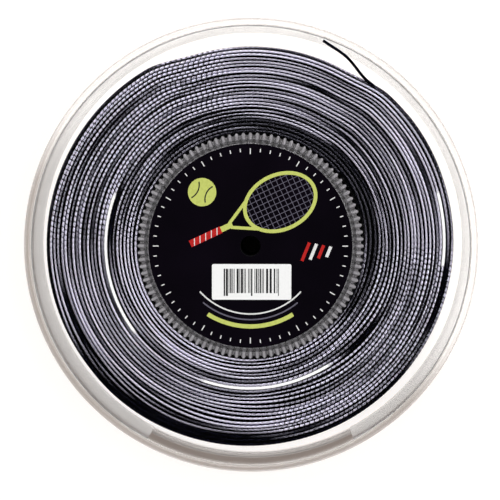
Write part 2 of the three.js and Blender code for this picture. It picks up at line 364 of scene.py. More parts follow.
def flange_outline(inside, out):
    """One flange's section. out is 1 for the front one, whose outer face is up, and -1 for the rear."""
    face, crown, edge = plate, plate + bead_height, moulded_edge
    corners = [
        (collar_bore, -collar_height, edge),
        (collar_radius, -collar_height, edge),
        (collar_radius, 0, edge),
        (spigot_radius - spigot_wall, 0, edge),
        (spigot_radius - spigot_wall, -spigot_height, edge),
        (spigot_radius, -spigot_height, edge),
        (spigot_radius, 0, edge),
        (lip_radius, 0, 0.5 * mm),
        (lip_radius, -lip_height, edge),
        (flange_radius, -lip_height, edge),
        (flange_radius, crown - 0.2 * mm, 0.7 * mm),
        (flange_radius - 1.3 * mm, crown, 1.4 * mm),
        (flange_radius - bead_width, face, 0.9 * mm),
        (seat_radius, face, 0.12 * mm),
        (seat_radius, face - seat_depth, 0.12 * mm),
        (collar_bore, face - seat_depth, 0.12 * mm),
    ]
    if out < 0:
        corners = [(r, -z, rounding) for r, z, rounding in reversed(corners)]
    return [(radius, height + inside) for radius, height in section(corners, 4, 0.3 * mm)]


# The loose end's way: where the string leaves the winding, and a place beside that.
winding_radius = 70.65 * mm
depart_angle = math.radians(52.2)
outwards = Vector((math.cos(depart_angle), math.sin(depart_angle), 0))
onwards = Vector((-outwards.y, outwards.x, 0))
front_lane = 31.875 * mm
above_flange = 35.725 * mm
tip_lift = 1.7 * mm
climb = above_flange - front_lane


def beside_winding(along, out, height):
    return outwards * (winding_radius + out * mm) + onwards * along * mm + Vector((0, 0, height))


tail_route = [beside_winding(along, out, front_lane + share * climb) for along, out, share in (
    (1.55, 0.5, 0), (4.2, 0.6, 0), (6.8, 1.1, 0), (8.7, 1.6, 0.02), (10.4, 1.95, 0.16), (11.9, 2.2, 0.5),
    (13.4, 2.35, 0.84))]
tail_route += [beside_winding(along, out, above_flange + share * tip_lift) for along, out, share in (
    (15.2, 2.4, 0.03), (17.6, 2.3, 0.24), (20.6, 2.0, 0.6), (23.9, 1.7, 1))]


def slot_cutter():
    """A bar through the plate, along the string's own slant, whose ends curve inwards."""
    entry, middle, leave = tail_route[4:7]
    slant = math.atan2(leave.y - entry.y, leave.x - entry.x)
    rim = []
    for side in (1, -1):
        for k in range(slot_steps + 1):
            angle = side * math.pi / 2 + math.pi * k / slot_steps
            x = side * (slot_half_length - slot_half_width) + slot_half_width * math.cos(angle)
            rim.append(middle.xy + turned(x, slot_half_width * math.sin(angle), slant))
    return bar_between("slot_cutter", *(
        [(*place, front_inside + level * plate) for place in rim] for level in (-1, 2)))


def at_rim(tree):
    """1 on the rim's lip and outer edge, and 0 inside them."""
    return own_place(tree).flat().length() > lip_radius - 0.4 * mm


def fluting(tree):
    """A wave round the axis, 1 on the drum's crests and -1 in its hollows."""
    x, y, _ = own_place(tree).axes()
    return (y.math("ARCTAN2", x) * flute_count).math("COSINE")


def frosted_ring(tree):
    """The drum's centring ring is finely ribbed, and it and the rim's lip are rough from the mould."""
    within = own_place(tree).flat().length() < spigot_radius + face_slack
    middle = (front_inside + rear_inside) / 2
    below_plate = abs(own_place(tree).axes()[2] - middle) < front_inside - middle - face_slack
    ribs = (fluting(tree) * 0.5 + 0.5).between(*rib_frost)
    return within * below_plate * ribs + at_rim(tree) * (below_plate * lip_frost + edge_frost)


def frost_and_painted_shade(tree):
    """The ring's frosting is painted grey, as painted shade from the dark strings beside it, and the rim's is
    pale.
    """
    return at_rim(tree).blended((0.6, 0.59, 0.62, 1), (0.9, 0.84, 0.79, 1))


flange_plastic = clear_plastic(
    "clear_flange", (0.995, 0.992, 0.988, 1), (0.99, 0.985, 0.98, 1), 0.03, 0.15 * mm, 60.0,
    frosted_ring, frost_and_painted_shade)

front_flange = lathe("front_flange_moulding", flange_outline(front_inside, 1), flange_plastic)
cut(front_flange, slot_cutter())
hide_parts("front_flange")
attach(front_flange, "reel")

rear_flange = lathe("rear_flange_moulding", flange_outline(rear_inside, -1), flange_plastic)
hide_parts("rear_flange")
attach(rear_flange, "reel")

# ---- Drum ----
# The core that the string is wound on: a clear moulded wall with a hundred straight flutes, so that the
# first layer grips. It sits between the flanges, on their centring rings, and has a hole for the
# string's first end.

drum_radius = 40 * mm
drum_wall = 1.2 * mm  # between the flutes and the inside
drum_inside = 37.62 * mm
flute_depth = 1 * mm
anchor_angle = math.radians(205)
anchor_height = 8.8 * mm
anchor_radius = 1.075 * mm
anchor_steps = 20
flute_frost = 0.18, 0.75  # how frosted the hollows and the crests are
flute_scallop = 0.45 * mm
flute_steps = 8
end_round = 0.2 * mm


def new_tree(name, numbers, whole_numbers=()):
    """A Geometry Nodes tree that takes a mesh, a material and numbers by name, and gives a mesh."""
    tree = bpy.data.node_groups.new(name, "GeometryNodeTree")
    tree.interface.new_socket("Geometry", in_out="OUTPUT", socket_type="NodeSocketGeometry")
    taken = [("Geometry", "Geometry"), ("Material", "Material")]
    taken += [("Int", label) for label in whole_numbers] + [("Float", label) for label in numbers]
    for kind, label in taken:
        tree.interface.new_socket(label, in_out="INPUT", socket_type="NodeSocket" + kind)
    given = {socket.name: Output(socket) for socket in tree.nodes.new("NodeGroupInput").outputs}
    return tree, given, tree.nodes.new("NodeGroupOutput").inputs


def close_tree(tree, geometry, given, result):
    """Ends a tree in plain, smooth mesh with its material."""
    smooth = add_node(tree, "GeometryNodeSetShadeSmooth", inputs={"Geometry": geometry})
    real = add_node(tree, "GeometryNodeRealizeInstances", inputs={"Geometry": smooth})
    finished = add_node(tree, "GeometryNodeSetMaterial", inputs={
        "Geometry": real, "Material": given["Material"]})
    tree.links.new(finished.socket, result["Geometry"])


def run_tree(piece, tree, values):
    """Puts a tree on a piece with its inputs set, and keeps what it makes as a plain mesh."""
    modifier = piece.modifiers.new(tree.name, "NODES")
    modifier.node_group = tree
    for item in tree.interface.items_tree:
        if item.item_type == "SOCKET" and item.in_out == "INPUT" and item.name in values:
            modifier[item.identifier] = values[item.name]
    return as_made(piece)


def flute_tree():
    """Pushes a plain wall's outside into straight flutes, and scallops its ends to match."""
    tree, given, result = new_tree(
        "straight_flutes", ["Flute Depth", "Flute Root", "Scallop", "Low End", "High End"], ["Flutes"])
    place = add_node(tree, "GeometryNodeInputPosition")
    x, y, z = place.axes()
    flat = place.flat()
    wave = (y.math("ARCTAN2", x) * given["Flutes"]).math("COSINE")
    push = wave * (given["Flute Depth"] * 0.5) * (flat.length() > given["Flute Root"])
    drop = (wave * -0.5 + 0.5) * given["Scallop"] * ((z < given["Low End"]) - (z > given["High End"]))
    outward = vectors(tree, "NORMALIZE", flat).scaled(push)
    offset = vectors(tree, "ADD", outward, place_of(tree, 0.0, 0.0, drop))
    fluted = add_node(tree, "GeometryNodeSetPosition", inputs={
        "Geometry": given["Geometry"], "Offset": offset})
    close_tree(tree, fluted, given, result)
    return tree


def anchor_cutter():
    """A bar along the hole that takes the string's first end."""
    along = Vector((math.cos(anchor_angle), math.sin(anchor_angle), 0))
    aside = Vector((-along.y, along.x, 0))
    ring = [turned(anchor_radius, 0, full_turn * k / anchor_steps) for k in range(anchor_steps)]
    return bar_between("anchor_cutter", *(
        [along * reach + aside * place.x + Vector((0, 0, anchor_height + place.y)) for place in ring]
        for reach in (drum_radius - 4 * drum_wall, drum_radius + 2 * drum_wall)))


def frosted_flutes(tree):
    """The flutes' crests come frosted from the mould, and the hollows clearer."""
    return fluting(tree).eased(-0.2, 0.9, *flute_frost)


drum_plastic = clear_plastic(
    "clear_drum", (0.93, 0.93, 0.935, 1), (0.85, 0.85, 0.85, 1), 0.08, 0.2 * mm, 60.0,
    frosted_flutes, (0.68, 0.66, 0.7, 1))
wall_middle = drum_radius - flute_depth / 2
drum_outline = wall_section(drum_inside, wall_middle, rear_inside, front_inside, end_round, 2, 1 * mm)
drum = lathe("fluted_drum_moulding", drum_outline, drum_plastic, steps=flute_steps * flute_count)
run_tree(drum, flute_tree(), {
    "Flutes": flute_count, "Flute Depth": flute_depth, "Flute Root": (drum_inside + wall_middle) / 2,
    "Scallop": flute_scallop, "Low End": rear_inside + end_round + 0.01 * mm,
    "High End": front_inside - end_round - 0.01 * mm, "Material": drum_plastic})
cut(drum, anchor_cutter())
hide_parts("fluted_drum")
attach(drum, "reel")

# ---- Spindle tube ----
# A black plastic tube through the middle, pressed into both flanges' collars. The stringer's spindle
# goes through it.

bore_radius = 3.6 * mm
tube_radius = 4.8 * mm
tube_bottom = 1.2 * mm
tube_top = 34.4 * mm

tube_plastic, tree = new_material("dark_tube")
grain = object_noise(tree, 2500.0, 4.0)
coat(tree, grain.blended((0.008, 0.008, 0.009, 1), (0.02, 0.02, 0.022, 1)),
     grain.between(0.4, 0.6), grain.bump(0.02 * mm))
tube_outline = wall_section(bore_radius, tube_radius, tube_bottom, tube_top, 0.3 * mm)
tube = lathe("spindle_tube_turned", tube_outline, tube_plastic, steps=96)
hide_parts("spindle_tube")
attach(tube, "reel")

# ---- String ----
# Dark, silvery polyester monofilament of rounded square section, twisted as it is drawn. It starts inside
# the drum and goes round in some twenty-four layers, each lying a little unevenly on the one below. Its
# turns show against both flanges and all round the outside.

string_size = 0.95 * mm  # across the flats
string_corner = 0.2 * mm
twist_pitch = 7.6 * mm  # length of one full twist
turn_pitch = 1.275 * mm
outer_radius = 71.35 * mm  # to the middle of the outermost string
first_turn = 40.75 * mm
face_turns = 24
outer_turns = 22
stations_per_turn = 240
rear_lane = 3.725 * mm
# Painted light on the twist's facets: a painted highlight on some facets, and painted shade at their edges.
facet_slant = 0.7  # of the facets' edges, along the string for each step across it
painted_facet_highlight = 0.1, 0.7  # the least and the most that one facet is lighter than the string
painted_facet_edge_fades = 0.17, 0.06  # where a facet's dark edge starts and is full, as a share of the facet's length
# Painted shade on each string's sides, which leaves a painted lit middle.
painted_lit_middle = 0.08 * mm, 0.42 * mm  # half of a string's painted lit middle, at its narrowest and its widest
painted_lit_middle_fade = 0.17 * mm
lit_middle_wander_size = 1.7 * mm, 1.4  # how far in, and how often round, the painted lit middle's width changes
# Painted highlights: where the tone runs past one the string is painted plain white by glare_tone, and glows.
glare_tone = 1.3  # the tone from which string is plain white
painted_glare_glow = 0.3  # of the string's white stretches
string_inputs = ["String Size", "String Corner", "Twist Pitch", "Step"]
# Painted highlights, where one turn is painted white and glowing and its string drawn wider: its layer, and
# the middle and half of its arc in degrees.
glares = ((8, 188, 37), (8, 277, 34), (22, 5, 14))


def noise_in_depth(tree, place, depth):
    """Noise that changes with a place and with one more number."""
    return add_node(tree, "ShaderNodeTexNoise", {"noise_dimensions": "4D"}, {
        "Vector": place, "W": depth, "Scale": 1.0, "Detail": 1.0})


def string_material(name, low, high):
    """Silvery polyester. Each string carries its tone, from dark to light, and the place of each point
    along it, across it, and in how far its facets show there. Its sides and the facets' edges are dark."""
    material, tree = new_material(name)
    tone = add_node(tree, "ShaderNodeAttribute", {"attribute_name": "tone"}, output="Fac")
    laid = add_node(tree, "ShaderNodeAttribute", {"attribute_name": "laid"}, output="Vector")
    along, across, facets = laid.axes()
    # Painted highlight: where the tone runs past one the string is painted white and made to glow.
    glare = tone.ranged(1.0, glare_tone)
    # Painted highlights on facets of the twist, lit by chance where the facets show.
    slanted = (across * facet_slant + along) / (twist_pitch / 4)
    number = (slanted + 0.5).math("FLOOR")
    chance = add_node(tree, "ShaderNodeTexWhiteNoise", {"noise_dimensions": "1D"}, {"W": number}, "Value")
    least, most = painted_facet_highlight
    tone = tone + (chance * (most - least) + least) * facets * tone.between(0.0, 1.0)
    # Painted shade at the facets' edges.
    edge = abs(slanted.math("FRACT") - 0.5).eased(*painted_facet_edge_fades) * facets
    # Painted shade on the string's sides, leaving a painted lit middle whose width wanders round the reel.
    place = own_place(tree).flat()
    how_far, how_often = lit_middle_wander_size
    way = vectors(tree, "NORMALIZE", place).scaled(how_often)
    lit_middle_wander = noise_in_depth(tree, way, place.length() / how_far)
    lit = lit_middle_wander.ranged(0.34, 0.66, *painted_lit_middle, clamp=False)
    side = abs(across).eased(lit, lit + painted_lit_middle_fade)
    plain = 1.0 - glare
    dark = edge.math("MAXIMUM", side) * plain * 0.95
    tone = tone.between(0.0, 1.0) * (1.0 - dark)
    pearl = object_noise(tree, 1500.0, 3.0)
    coat(tree, glare.blended(tone.blended(low, high), (1, 1, 1, 1)),
         pearl.between(0.18, 0.26), pearl.bump(0.001 * mm), Metallic=plain, Emission_Color=(1, 1, 1, 1),
         Emission_Strength=glare * painted_glare_glow, Specular_Tint=(0.25, 0.25, 0.3, 1))
    return material


string_plastic = string_material("twisted_string", (0.004, 0.004, 0.009, 1), (0.86, 0.83, 1.0, 1))
# A near-black copy of the string, as painted shade for the lower layers in the gaps.
string_in_painted_shade = string_material("twisted_string_in_painted_shade", (0.002, 0.002, 0.004, 1), (0.01, 0.01, 0.016, 1))


def stored(tree, geometry, name, value, kind="FLOAT"):
    """Writes a value on each point of a path or mesh, under a name."""
    return add_node(tree, "GeometryNodeStoreNamedAttribute", {"data_type": kind, "domain": "POINT"}, {
        "Geometry": geometry, "Name": name, "Value": value})


def recalled(tree, name, kind="FLOAT"):
    return add_node(tree, "GeometryNodeInputNamedAttribute", {"data_type": kind}, {"Name": name})


def skin_tree():
    """Gives a path its string: a rounded square section that twists as it goes along."""
    tree, given, result = new_tree("string_skin", string_inputs)
    spaced = add_node(tree, "GeometryNodeResampleCurve", {"mode": "LENGTH"}, {
        "Curve": given["Geometry"], "Length": given["Step"]})
    upright = add_node(tree, "GeometryNodeSetCurveNormal", {"mode": "Z_UP"}, {"Curve": spaced})
    length = add_node(tree, "GeometryNodeSplineParameter", output="Length")
    twisted = add_node(tree, "GeometryNodeSetCurveTilt", inputs={
        "Curve": stored(tree, upright, "along", length), "Tilt": length / given["Twist Pitch"] * full_turn})
    square = add_node(tree, "GeometryNodeCurvePrimitiveQuadrilateral", inputs={
        "Width": given["String Size"], "Height": given["String Size"]})
    profile = add_node(tree, "GeometryNodeFilletCurve", {"mode": "POLY"}, {
        "Curve": square, "Radius": given["String Corner"], "Count": 1})
    skinned = add_node(tree, "GeometryNodeCurveToMesh", inputs={
        "Curve": twisted, "Profile Curve": profile, "Fill Caps": True})
    close_tree(tree, skinned, given, result)
    return tree


string_skin = skin_tree()


def clad(tree, path, given):
    """Gives a path its string, inside another tree."""
    inputs = {name: given[name] for name in ["Material", *string_inputs]}
    return add_node(tree, "GeometryNodeGroup", {"node_tree": string_skin}, {"Geometry": path, **inputs})


def winding_tree():
    """Lays turns one beside the other: each keeps its place for most of the way round, then climbs."""
    tree, given, result = new_tree("string_winding", [
        "First Radius", "Radius Step", "First Height", "Height Step", "Start Angle", "Climb Share", "Drift",
        "First Lean", "Last Lean", "Lean Angle", "Oval", "Oval Angle", "Dip", "Dip Angle", "Inner Sink",
        "Inner Turns", "Radius Wander", "Spacing Wander", "Depth Wander", "Tone", "Tone Range",
        "Shaded Turns", "First Shade", "First Shade Angle", "Last Shade", "Last Shade Angle",
        "Facet Angle", "Facet Shift", "Seed", *string_inputs,
        *[f"Glare {k} {what}" for k in range(len(glares)) for what in ("Layer", "Angle", "Reach")],
    ], ["Turns", "Turns Before", "All Turns", "Stations per Turn"])
    line = add_node(tree, "GeometryNodeCurvePrimitiveLine", inputs={"End": (1, 0, 0)})
    stations = add_node(tree, "GeometryNodeResampleCurve", {"mode": "COUNT"}, {
        "Curve": line, "Count": given["Turns"] * given["Stations per Turn"] + 1})
    turns = add_node(tree, "GeometryNodeInputIndex") / given["Stations per Turn"] + given["Turns Before"]
    angle = turns * full_turn + given["Start Angle"]
    x, y = angle.math("COSINE"), angle.math("SINE")
    progress = turns * (given["Drift"] + 1.0)
    whole = progress.math("FLOOR")
    layer = whole + (progress - whole).eased(1.0 - given["Climb Share"], 1.0)

    def wander(offset, scale, roughness):
        """Noise between -1 and 1 that runs on smoothly round the turn and from turn to turn."""
        place = place_of(tree, x * roughness, y * roughness, progress * scale)
        return noise_in_depth(tree, place, given["Seed"] + offset).ranged(0.25, 0.75, -1.0, 1.0, clamp=False)

    def faced(direction, times=1.0):
        """How far a place on the turn faces a direction, between -1 and 1."""
        return ((angle - given[direction]) * times).math("COSINE")

    def shaded(tone, nearness, shade, least):
        """A tone with painted shade, darker towards one end of the turns and towards the shade's angle round
        the reel.
        """
        return tone - (faced(shade + " Angle") * (1 - least) + least) * given[shade] * nearness

    radius = layer * given["Radius Step"] + given["First Radius"]
    radius = wander(0.0, 0.55, 0.7) * given["Radius Wander"] + radius
    radius = wander(21.0, 1.9, 0.9) * given["Spacing Wander"] + radius
    lean = layer.ranged(0.0, given["All Turns"], given["First Lean"], given["Last Lean"], clamp=False)
    shape = faced("Oval Angle", 2.0) * given["Oval"] + faced("Lean Angle")
    radius = lean * (shape - faced("Dip Angle").eased(0.8, 0.93) * given["Dip"]) + radius
    height = layer * given["Height Step"] + given["First Height"]
    height = wander(7.3, 1.1, 1.0).math("MAXIMUM", 0.0) * given["Depth Wander"] + height
    height = layer.eased(given["Inner Turns"], 0.0) * given["Inner Sink"] + height

    # Painted shade: the tone wanders at random, and is painted darker on the first and last turns towards
    # their shade angles, down to a dark slate on the first ones.
    tone = wander(3.1, 2.6, 1.2) * given["Tone Range"] + given["Tone"]
    innermost = layer.eased(given["Shaded Turns"] * 1.5, 2.0)
    tone = shaded(tone, innermost, "First Shade", 0.25).math("MAXIMUM", innermost * 0.06)
    outermost = (given["All Turns"] - layer).eased(given["Shaded Turns"], 0.0)
    tone = shaded(tone, outermost, "Last Shade", 0.15).math("MINIMUM", 1.0)
    # Painted highlights: the glare arcs raise the tone past one.
    for k in range(len(glares)):
        in_layer = abs(layer - given[f"Glare {k} Layer"]).eased(0.7, 0.3)
        in_arc = faced(f"Glare {k} Angle").eased(given[f"Glare {k} Reach"], 1.0).math("SQRT")
        tone = tone.math("MAXIMUM", in_layer * in_arc * 2.0)

    path = add_node(tree, "GeometryNodeSetPosition", inputs={
        "Geometry": stations, "Position": place_of(tree, x * radius, y * radius, height)})
    # In the painted highlights the string is drawn up to 1.4 times as wide.
    path = add_node(tree, "GeometryNodeSetCurveRadius", inputs={
        "Curve": stored(tree, path, "tone", tone), "Radius": tone.eased(1.0, 2.0) * 0.4 + 1.0})
    # Where round the reel the painted facet highlights and shade show.
    facets = faced("Facet Angle", 2.0).eased(-0.05, 0.4)
    path = stored(tree, path, "middle", place_of(tree, radius, height, facets), "FLOAT_VECTOR")
    shift = (turns + wander(13.0, 2.3, 1.5)) * given["Facet Shift"]
    string = clad(tree, stored(tree, path, "shift", shift), given)

    # Each point's place on its string, for the material.
    radius, height, facets = recalled(tree, "middle", "FLOAT_VECTOR").axes()
    along = recalled(tree, "along") + recalled(tree, "shift")
    place = add_node(tree, "GeometryNodeInputPosition")
    on_side = abs(given["Height Step"]) > 0.0
    across = on_side.between(place.flat().length() - radius, place.axes()[2] - height)
    laid = place_of(tree, along, across, facets)
    close_tree(tree, stored(tree, string, "laid", laid, "FLOAT_VECTOR"), given, result)
    return tree


string_winding = winding_tree()
string_look = {
    "String Size": string_size, "String Corner": string_corner,
    "Twist Pitch": twist_pitch, "Material": string_plastic}
lean = 0.93 * mm  # of the full winding, to one side
out_of_round = {
    "Lean Angle": math.radians(125), "Oval": 0.32, "Oval Angle": math.radians(28.5),
    "Dip": 2.2, "Dip Angle": math.radians(84)}
# The string's tones, with the painted shade's strengths and angles, and the painted highlights.
string_tones = {
    "Tone": 0.66, "Tone Range": 0.75, "Shaded Turns": 4.0, "Facet Angle": math.radians(139),
    "First Shade": 1.1, "First Shade Angle": math.radians(45),
    "Last Shade": 0.95, "Last Shade Angle": math.radians(270)}
for k, (layer, middle, reach) in enumerate(glares):
    string_tones[f"Glare {k} Layer"] = layer
    string_tones[f"Glare {k} Angle"] = math.radians(middle)
    string_tones[f"Glare {k} Reach"] = math.cos(math.radians(reach))


def wind(name, **values):
    """Winds some turns of string, and rides them on the reel."""
    piece = link(bpy.data.objects.new(name, bpy.data.meshes.new(name)))
    inputs = {key.replace("_", " ").title().replace(" Per ", " per "): value for key, value in values.items()}
    run_tree(piece, string_winding, {**string_look, **out_of_round, **string_tones, **inputs})
    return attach(piece, "reel")


half_way = face_turns // 2
on_face = {
    "all_turns": face_turns, "first_radius": first_turn, "radius_step": turn_pitch, "height_step": 0.0,
    "climb_share": 0.12, "drift": 0.02, "last_lean": lean, "inner_turns": 3.0, "radius_wander": 0.22 * mm,
    "stations_per_turn": stations_per_turn}
for name, turns_before in (("string_inner_turns_at_front", 0), ("string_outer_turns_at_front", half_way)):
    front_turns = wind(
        name, **on_face, turns=half_way, turns_before=turns_before, first_height=front_lane,
        start_angle=math.radians(40), inner_sink=-1 * mm, spacing_wander=0.13 * mm,
        depth_wander=-0.35 * mm, seed=3.0, step=0.5 * mm)
    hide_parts("winding_core")
wind(
    "string_turns_at_rear", **on_face, turns=face_turns, first_height=rear_lane,
    start_angle=math.radians(200), inner_sink=1 * mm, depth_wander=0.35 * mm, seed=11.0, step=0.8 * mm)
no_glares = {f"Glare {k} Layer": -1.0 - outer_turns for k in range(len(glares))}
outer_layer = wind(
    "string_outer_layer", turns=outer_turns, all_turns=outer_turns, first_radius=outer_radius,
    radius_step=0.0, first_height=rear_lane, height_step=(front_lane - rear_lane) / outer_turns,
    start_angle=depart_angle, climb_share=0.5, drift=0.0, first_lean=lean, last_lean=lean,
    radius_wander=0.12 * mm, depth_wander=0.0, tone=0.45, facet_shift=0.7 * mm, seed=5.0,
    stations_per_turn=stations_per_turn, step=0.9 * mm, **no_glares)
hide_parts("winding_outer_layer")


def lower_turns_outline():
    """The layers below, which only show as dark ridges in the gaps between the turns; their string is painted
    near black, as painted shade.
    """
    ridge = 0.5 * mm
    inner, outer = first_turn, winding_radius - turn_pitch
    low, high = rear_lane + 1.5 * mm, front_lane - 1.5 * mm
    corners = [Vector(corner) for corner in ((inner, low), (outer, low), (outer, high), (inner, high))]
    outline = []
    for start, end, out in zip(corners, corners[1:] + corners[:1], ((0, -1), (1, 0), (0, 1), (-1, 0))):
        ridges = round((end - start).length / turn_pitch)
        plain = out[0] < 0
        for k in range(1 if plain else 4 * ridges):
            share = k / (4 * ridges)
            swell = 0 if plain else ridge * abs(math.sin(math.pi * share * ridges))
            outline.append(tuple(start.lerp(end, share) + Vector(out) * swell))
    return outline


lower_turns = lathe("string_lower_turns", lower_turns_outline(), string_in_painted_shade, steps=144)
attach(lower_turns, "reel")


def smooth_path(points, steps):
    """A smooth line through given points, as a mesh of edges."""
    spline = bpy.data.curves.new("path", "CURVE")
    spline.dimensions = "3D"
    bent = spline.splines.new("BEZIER")
    bent.bezier_points.add(len(points) - 1)
    bent.resolution_u = steps
    for knot, point in zip(bent.bezier_points, points):
        knot.co = point
        knot.handle_left_type = knot.handle_right_type = "AUTO"
    holder = link(bpy.data.objects.new("path", spline))
    depsgraph = bpy.context.evaluated_depsgraph_get()
    mesh = bpy.data.meshes.new_from_object(holder.evaluated_get(depsgraph))
    bpy.data.objects.remove(holder)
    return mesh


def path_tree():
    """Lays string along a drawn path."""
    tree, given, result = new_tree("string_on_path", [*string_inputs, "Tone"])
    path = add_node(tree, "GeometryNodeMeshToCurve", inputs={"Mesh": given["Geometry"]})
    close_tree(tree, clad(tree, stored(tree, path, "tone", given["Tone"]), given), given, result)
    return tree


string_path = path_tree()


def loose_string(name, points, node):
    """A stretch of string along a path, in place of a CAD node."""
    piece = link(bpy.data.objects.new(name, smooth_path(points, 12)))
    run_tree(piece, string_path, {**string_look, "Step": 0.35 * mm, "Tone": 0.0})
    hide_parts(node)
    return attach(piece, "reel")


loose_string("string_loose_end", [beside_winding(0, 0.5, front_lane)] + tail_route, "string_tail")

start_points = []
for reach, aside in ((40, 0), (37.45, 0), (35.5, 0.91), (34.59, 2.6), (34.2, 5.1), (34.2, 7.6)):
    place = turned(reach * mm, aside * mm, anchor_angle)
    start_points.append(Vector((place.x, place.y, anchor_height)))
loose_string("string_first_end", start_points, "string_start")

# ---- Labels ----
# Two round labels of black coated paper, stuck into the seats in the flanges' outer faces. A ring of
# marks is printed round both, and the front one has a racket and a ball in lime, white and red.

label_face = 34.6 * mm
rear_label_face = 1.0 * mm
ink_bite = 0.03 * mm  # how far a slip of ink goes into the paper
ink_height = 0.025 * mm  # of each layer of ink
ink_step = 0.0007 * mm

label_paper, tree = new_material("label_print")
fibre = object_noise(tree, 1800.0, 4.0)
cloud = object_noise(tree, 45.0, 2.0)
coat(tree, cloud.blended((0.0012, 0.001, 0.0016, 1), (0.005, 0.003, 0.007, 1)),
     fibre.between(0.08, 0.13), fibre.bump(0.0006 * mm))
for node in ("front_label", "rear_label"):
    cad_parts[node].data.materials.clear()
    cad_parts[node].data.materials.append(label_paper)


def ink(name, colour):
    """Printer's ink, a little uneven in its cover."""
    material, tree = new_material(name)
    cover = object_noise(tree, 700.0, 3.0)
    thin = tuple(0.86 * value for value in colour)
    coat(tree, cover.blended((*thin, 1), (*colour, 1)), cover.between(0.22, 0.34), cover.bump(0.002 * mm))
    return material


lime_ink = ink("label_ink_lime", (0.60, 0.66, 0.16))
white_ink = ink("label_ink_white", (0.84, 0.84, 0.82))
red_ink = ink("label_ink_red", (0.52, 0.014, 0.012))
grey_ink = ink("label_ink_grey", (0.13, 0.12, 0.16))
black_ink = ink("label_ink_black", (0.012, 0.012, 0.014))


def bar(x, y, length, width, turn=0.0):
    """A straight bar about its middle, in millimetres and degrees, as two rows of points."""
    along = turned(length * mm / 2, 0, math.radians(turn))
    aside = turned(0, width * mm / 2, math.radians(turn))
    middle = Vector((x, y)) * mm
    left, right = ([middle - along + side, middle + along + side] for side in (aside, -aside))
    return left, right, False


def bow(x, y, wide, high, width, first=0, last=360, turn=0.0, steps=48):
    """A stretch of an oval ring, in millimetres and degrees, as two rows of points."""
    closed = last - first >= 360
    rows = [], []
    for k in range(steps if closed else steps + 1):
        angle = math.radians(first + (last - first) * k / steps)
        for row, grown in zip(rows, (-width / 2, width / 2)):
            u, v = (wide + grown) * math.cos(angle), (high + grown) * math.sin(angle)
            row.append((Vector((x, y)) + turned(u, v, math.radians(turn))) * mm)
    return *rows, closed


def disc(x, y, wide, high, steps=32):
    """A filled oval, in millimetres, as two rows of points."""
    rows = [], []
    for k in range(steps + 1):
        angle = math.pi * (0.02 + 0.96 * k / steps)
        for row, side in zip(rows, (1, -1)):
            row.append(Vector((x + wide * math.cos(angle), y + side * high * math.sin(angle))) * mm)
    return *rows, False


def printed(name, bands, face, out, material, layer=1):
    """Ink on paper: thin closed slips, each between two rows of points, on a face at a height. A later
    layer lies on those below it, and a slip a hair above the one before it."""
    points, faces = [], []
    for number, (left, right, closed) in enumerate(bands):
        first = len(points)
        for a, b in zip(left, right):
            low, high = face - out * ink_bite, face + out * (ink_height * layer + ink_step * (number % 24))
            points += [(*a, low), (*b, low), (*b, high), (*a, high)]
        count = len(left)
        for i in range(count if closed else count - 1):
            here, there = first + 4 * i, first + 4 * ((i + 1) % count)
            for j in range(4):
                k = (j + 1) % 4
                faces.append((here + j, there + j, there + k, here + k))
        if not closed:
            last = first + 4 * (count - 1)
            faces += [(first, first + 1, first + 2, first + 3), (last + 3, last + 2, last + 1, last)]
    piece = mesh_piece(name, points, faces, material)
    whole = bmesh.new()
    whole.from_mesh(piece.data)
    bmesh.ops.recalc_face_normals(whole, faces=whole.faces)
    whole.to_mesh(piece.data)
    whole.free()
    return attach(piece, "reel")


def ring_of_marks():
    """Sixty marks round a label's edge, each fifth one longer."""
    marks, outer = [], 34.4
    for k in range(60):
        inner = 32.4 if k % 5 == 0 else 33.2
        middle = turned((inner + outer) / 2, 0, math.radians(6 * k))
        marks.append(bar(middle.x, middle.y, outer - inner, 0.35, 6 * k))
    return marks


printed("label_marks_front", ring_of_marks(), label_face, 1, white_ink)
printed("label_marks_rear", ring_of_marks(), rear_label_face, -1, white_ink)

# The printed racket: u runs from the middle of its head towards the handle, and v across it.
head_x, head_y, racket_turn = 10.5, 15.5, 205
head_long, head_wide = 13.0, 9.6
thread = 0.22  # width of the printed racket's strings


def on_racket(u, v):
    """A place on the printed racket, in millimetres."""
    return Vector((head_x, head_y)) + turned(u, v, math.radians(racket_turn))


def racket_bar(u0, v0, u1, v1, width):
    """A bar between two places on the racket."""
    (x0, y0), (x1, y1) = on_racket(u0, v0), on_racket(u1, v1)
    turn = math.degrees(math.atan2(y1 - y0, x1 - x0))
    return bar((x0 + x1) / 2, (y0 + y1) / 2, math.hypot(x1 - x0, y1 - y0), width, turn)


bed = []
for k in range(-6, 7):
    u = 1.9 * k
    reach = head_wide * math.sqrt(1 - (u / head_long) ** 2)
    bed.append(racket_bar(u, -reach, u, reach, thread))
for k in range(-4, 5):
    v = 1.9 * k
    reach = head_long * math.sqrt(1 - (v / head_wide) ** 2)
    bed.append(racket_bar(-reach, v, reach, v, thread))
hoop = [bow(head_x, head_y, head_long, head_wide, 1.3, turn=racket_turn, steps=72)]
throat_u = head_long * math.cos(math.radians(35))
throat_v = head_wide * math.sin(math.radians(35))
hoop += [racket_bar(throat_u, side * throat_v, head_long + 6.5, side * 0.7, 1.1) for side in (-1, 1)]
hoop.append(racket_bar(head_long + 5.6, 0, head_long + 10, 0, 2.0))
grip = racket_bar(head_long + 10, 0, head_long + 22, 0, 2.5)
tape = [racket_bar(head_long + u, -1.2, head_long + u + 1.1, 1.2, 0.3) for u in (11, 13.2, 15.4, 17.6, 19.8)]
seams = [
    bow(-23.2, 21.6, 5.2, 5.2, 0.45, -62, 12, steps=16),
    bow(-10.8, 16.4, 5.2, 5.2, 0.45, 118, 192, steps=16),
]
flashes = [bar(19.5 + 2.7 * k, -2, 7 - k, 1.1, 68) for k in range(4)]
